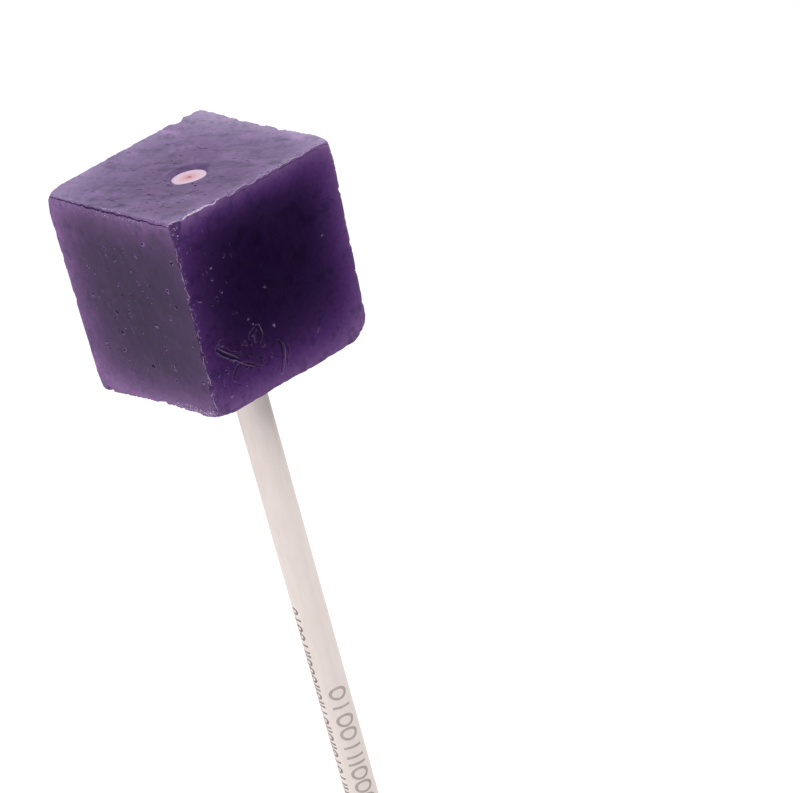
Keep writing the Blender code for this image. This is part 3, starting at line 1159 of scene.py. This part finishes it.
# %% Candy material
def candy_material():
    material, shader, place = start_material("grape_candy_with_painted_light", Specular_IOR_Level=0.13, IOR=1.5)

    def kept(name):
        """Reads an attribute of the mesh."""
        return place.node("ShaderNodeAttribute", {"attribute_name": name}, output="Fac")

    def dot(direction):
        sockets = {0: place, 1: direction}
        return place.node("ShaderNodeVectorMath", {"operation": "DOT_PRODUCT"}, sockets, "Value")

    wander = (noise(place, 0.16, 2.0) - 0.5) * 1.1
    depths = {side: (offset - dot(normal) + wander).most(0.0) for side, (normal, offset) in planes.items()}
    cloudy = noise(place, 0.5, 4.0) * 0.5 + 0.75
    colour = None
    # Each side's colour carries its painted glow near the edges and its painted lighting.
    for side, (deep, middle, rim, lights) in LOOKS_WITH_PAINTED_LIGHT.items():
        glow = 0
        for neighbour, (strength, reach) in lights.items():
            glow = depths[neighbour].fade(reach) * strength + glow
        glow = glow * cloudy
        outer = colour_mix((glow - MIDDLE_AT) * (1 / (1 - MIDDLE_AT)), middle, rim)
        side_colour = colour_mix(glow * (1 / MIDDLE_AT), deep, outer)
        colour = side_colour if colour is None else colour_mix(kept("on_" + side), colour, side_colour)

    # Streaks of haze run across the tip side, along the diagonal direction in which it was wiped.
    on_tip, on_top = kept("on_tip"), kept("on_top")
    parts = {"X": dot((1, 0, 0)), "Y": dot(WIPED) * 0.20, "Z": dot(ACROSS_WIPED)}
    streak_place = place.node("ShaderNodeCombineXYZ", {}, parts)
    streaks = noise(streak_place, 0.9, 4.0, 0.6)
    haze = noise(place, 0.22, 4.0).beyond(0.36, 0.68)
    colour = colour_mix(streaks.beyond(0.35, 0.65) * haze * on_tip * 0.6, colour, HAZE)
    dark_streaks = (1 - streaks.beyond(0.34, 0.46)) * on_tip
    colour = colour_mix(dark_streaks * 0.7, colour, STREAK_TINT, "MULTIPLY")

    # Fine mottling and larger smudges darken every side. A pale bloom lies on all but the top side.
    mottle = noise(place, 1.7, 5.0, 0.7)
    colour = colour_mix((1 - mottle.beyond(0.36, 0.56)) * 0.33, colour, MOTTLE_TINT, "MULTIPLY")
    smudges = noise(place, 0.5, 5.0, 0.65).beyond(0.50, 0.66)
    colour = colour_mix(smudges * 0.9, colour, SMUDGE_TINT, "MULTIPLY")
    bloom = (1 - noise(place, 0.37, 4.0, 0.6).beyond(0.30, 0.46)) * (1 - on_top)
    colour = colour_mix(bloom * 0.9, colour, BLOOM_TINT, "MULTIPLY")

    # Then come the broken facet, the crests near the rims, painted pale partly as wear and partly as painted
    # highlight, the painted shade in the hollows, and the flakes, whose pale ones are painted glints.
    colour = colour_mix(kept("broken") * 0.8, colour, BROKEN_COLOUR)
    crest = kept("crest")
    patches = noise(place, 2.2, 3.0).beyond(0.38, 0.62)
    wear_and_highlight = colour_mix(on_top, PALE_RIM_WEAR_AND_HIGHLIGHT, TOP_RIM_WEAR_AND_HIGHLIGHT)
    nearness = 0
    for depth in depths.values():
        nearness = depth.fade(RIM_REACH) + nearness
    at_rim = (nearness - 1).beyond(0.05, 0.45)
    colour = colour_mix(crest.beyond(0.10, 0.40) * patches * at_rim * 0.6, colour, wear_and_highlight)
    # Painted shade: grooves and pits are darkened where the crest is negative.
    hollow = (0 - crest).beyond(0.06, 0.30) * (0.75 - on_top * 0.15)
    colour = colour_mix(hollow, colour, HOLLOW_PAINTED_SHADE, "MULTIPLY")
    fleck = kept("fleck")
    colour = colour_mix(fleck, colour, FLECK_GLINT_COLOUR)
    colour = colour_mix(0 - fleck, colour, DARK_FLAKE_TINT, "MULTIPLY")
    feed(shader.inputs["Base Color"], colour)

    smear = noise(place, 0.35, 3.0)
    dull = fleck.maths("ABSOLUTE") * 1.1 + crest.maths("ABSOLUTE").beyond(0.03, 0.12) * 0.55
    feed(shader.inputs["Roughness"], smear * 0.18 + 0.18 + on_tip * 0.14 + kept("on_front") * 0.10 + dull)

    grain = noise(place, 1.3, 4.0, 0.6)
    height = grain * 0.5 + streaks * on_tip * 0.9
    bump = height.node("ShaderNodeBump", {}, {"Strength": 0.3, "Distance": 0.00008, "Height": height})
    feed(shader.inputs["Normal"], bump)
    print("grape candy:", len(material.node_tree.nodes), "nodes")
    return material


block.data.materials.clear()
block.data.materials.append(candy_material())

# %% [markdown]
# ## White paper, stained at the tip
# The paper is off-white and slightly mottled, with a little painted shade on one side. Molten candy soaked into
# its end, so the end face is tinted lilac at the rim and reddish round the open core. Two rows of plain rings and
# bars mark the lower half of the stick.

# %% Paper colour and marks
PAPER_WHITE = (0.865, 0.775, 0.74)
PAPER_WARM = (0.835, 0.735, 0.69)
PAINTED_SIDE_SHADE = (0.87, 0.86, 0.86)
INK = (0.22, 0.17, 0.17)
FINE_ROW = {"start": 46.7, "count": 70, "turn": 47.0, "height": 1.7, "pitch": 1.3, "ring": 0.42, "stroke": 0.30}
LARGE_ROW = {"start": 59.0, "count": 37, "turn": -37.0, "height": 2.5, "pitch": 2.1, "ring": 0.80, "stroke": 0.34}
RING_SQUEEZE = 0.75
BETWEEN_ROWS = math.radians(146)


def row_of_marks(x, turn, row):
    """Rings, bars and pairs of bars in a row along the stick, one in each pitch. 1 is inked."""
    step = (x - row["start"]) * (1 / row["pitch"])
    number = step.maths("FLOOR")
    beside = (step - number - 0.5) * row["pitch"]
    above = (turn - math.radians(row["turn"])) * STICK_RADIUS
    half_stroke = row["stroke"] / 2

    def within(value, limit):
        return value.maths("ABSOLUTE").maths("LESS_THAN", limit)

    tall = within(above, row["height"] / 2)
    squeezed = above * RING_SQUEEZE
    ring = within((beside * beside + squeezed * squeezed).maths("SQRT") - row["ring"], half_stroke)
    bar = within(beside, half_stroke) * tall
    pair = within(beside.maths("ABSOLUTE") - row["ring"] * 0.7, half_stroke) * tall
    chance = number.node("ShaderNodeTexWhiteNoise", {"noise_dimensions": "1D"}, {"W": number})
    is_ring = chance.maths("GREATER_THAN", 0.55)
    is_bar = chance.maths("LESS_THAN", 0.25)
    printed = number.maths("GREATER_THAN", -0.5) * number.maths("LESS_THAN", row["count"] - 0.5)
    return (is_ring * ring + is_bar * bar + (1 - is_ring - is_bar) * pair) * printed


def paper_material():
    material, shader, place = start_material("paper_with_painted_shade", Specular_IOR_Level=0.3)
    parts = place.tree.nodes.new("ShaderNodeSeparateXYZ")
    feed(parts.inputs[0], place)
    x, y, z = (Wire(parts.outputs[axis]) for axis in range(3))
    fibre_place = place.node(
        "ShaderNodeMapping", {"vector_type": "POINT"}, {"Vector": place, "Scale": (0.25, 1.0, 1.0)}
    )
    mottle = noise(fibre_place, 1.1, 5.0, 0.6)
    paper = colour_mix(mottle.beyond(0.35, 0.7), PAPER_WHITE, PAPER_WARM)

    across_y, across_z = y - STICK_Y, z - STICK_Z
    radius = (across_y * across_y + across_z * across_z).maths("SQRT")
    # Painted shade: the stick is darkened a little towards -Y and -Z.
    painted_shade_side = 1 - (across_y * 0.8 + across_z * 0.6).beyond(-2.0, 2.0)
    paper = colour_mix(painted_shade_side, paper, PAINTED_SIDE_SHADE, "MULTIPLY")
    at_tip = 1 - x.beyond(stick_low.x + 0.3, stick_low.x + 0.8)
    soak = noise(place, 0.9, 3.0) * 0.5 + 0.75
    stained = colour_mix((radius * soak).beyond(1.7, 2.4), (0.62, 0.46, 0.56), (0.52, 0.38, 0.56))
    stained = colour_mix((1 - (radius * soak).beyond(0.3, 1.7)) * 0.8, stained, (0.56, 0.27, 0.30))
    paper = colour_mix(at_tip, paper, stained)

    # The angle round the stick is measured from halfway between the two rows, so neither row is split.
    ahead = across_y * math.cos(BETWEEN_ROWS) + across_z * math.sin(BETWEEN_ROWS)
    aside = across_z * math.cos(BETWEEN_ROWS) - across_y * math.sin(BETWEEN_ROWS)
    turn = aside.maths("ARCTAN2", ahead)
    worn_ink = noise(place, 1.6, 3.0) * 0.5
    paper = colour_mix(row_of_marks(x, turn, LARGE_ROW) * (worn_ink + 0.35), paper, INK)
    paper = colour_mix(row_of_marks(x, turn, FINE_ROW) * (worn_ink + 0.70), paper, INK)
    feed(shader.inputs["Base Color"], paper)
    feed(shader.inputs["Roughness"], mottle * 0.2 + 0.65)
    bump = mottle.node("ShaderNodeBump", {}, {"Strength": 0.25, "Distance": 0.00004, "Height": mottle})
    feed(shader.inputs["Normal"], bump)
    print("paper:", len(material.node_tree.nodes), "nodes")
    return material


rod.data.materials.clear()
rod.data.materials.append(paper_material())

# %% [markdown]
# ## Floor and light
# The lollipop lies on a pale light table. The table glows softly, so its surface stays almost white and the
# shadow on it is faint. Three large softboxes light the candy: on the tip's side, in front and, lower down, behind.
# High up beyond the far side nothing glows. The top face mirrors that part of the room, and so keeps its deep
# colour.

# %% Floor
bpy.ops.object.select_all(action="DESELECT")
bpy.ops.mesh.primitive_plane_add(size=4.0, location=(0, 0, 0))
floor = bpy.context.view_layer.objects.active
floor.name = "floor"
floor_material = bpy.data.materials.new("light_table")
floor_material.use_nodes = True
floor_shader = floor_material.node_tree.nodes["Principled BSDF"]
floor_shader.inputs["Base Color"].default_value = (0.35, 0.35, 0.35, 1.0)
floor_shader.inputs["Roughness"].default_value = 0.9
floor_shader.inputs["Specular IOR Level"].default_value = 0.0
floor_shader.inputs["Emission Color"].default_value = (1.0, 1.0, 1.0, 1.0)
floor_shader.inputs["Emission Strength"].default_value = 0.86
floor.data.materials.append(floor_material)


# %% Softboxes and surroundings
def softbox(name, direction, distance, size, brightness):
    """A square area light that looks at the candy. brightness is what a white card facing it would show."""
    lamp_data = bpy.data.lights.new(name, "AREA")
    lamp_data.size = size
    lamp_data.energy = brightness * math.pi * math.pi * distance**2
    lamp = bpy.data.objects.new(name, lamp_data)
    bpy.context.scene.collection.objects.link(lamp)
    way = Vector(direction).normalized()
    lamp.location = Vector((0, 0, STICK_Z / BENCH)) + way * distance
    lamp.rotation_mode = "QUATERNION"
    lamp.rotation_quaternion = way.to_track_quat("Z", "Y")
    print(name, "power", round(lamp_data.energy, 2), "W")


softbox("tip_softbox", (-0.80, 0.28, 0.50), 0.7, 0.5, 0.85)
softbox("front_softbox", (0.20, -0.78, 0.58), 0.7, 0.5, 0.75)
softbox("back_softbox", (0.25, 0.95, 0.18), 0.7, 0.5, 0.54)

world = bpy.data.worlds.new("studio")
bpy.context.scene.world = world
world.use_nodes = True
world.node_tree.nodes["Background"].inputs["Color"].default_value = (0.06, 0.06, 0.065, 1.0)
bpy.context.scene.view_settings.view_transform = "Standard"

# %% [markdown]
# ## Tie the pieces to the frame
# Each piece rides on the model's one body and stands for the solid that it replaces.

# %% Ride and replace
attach(block, "root")
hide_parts("candy")
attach(rod, "root")
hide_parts("stick")
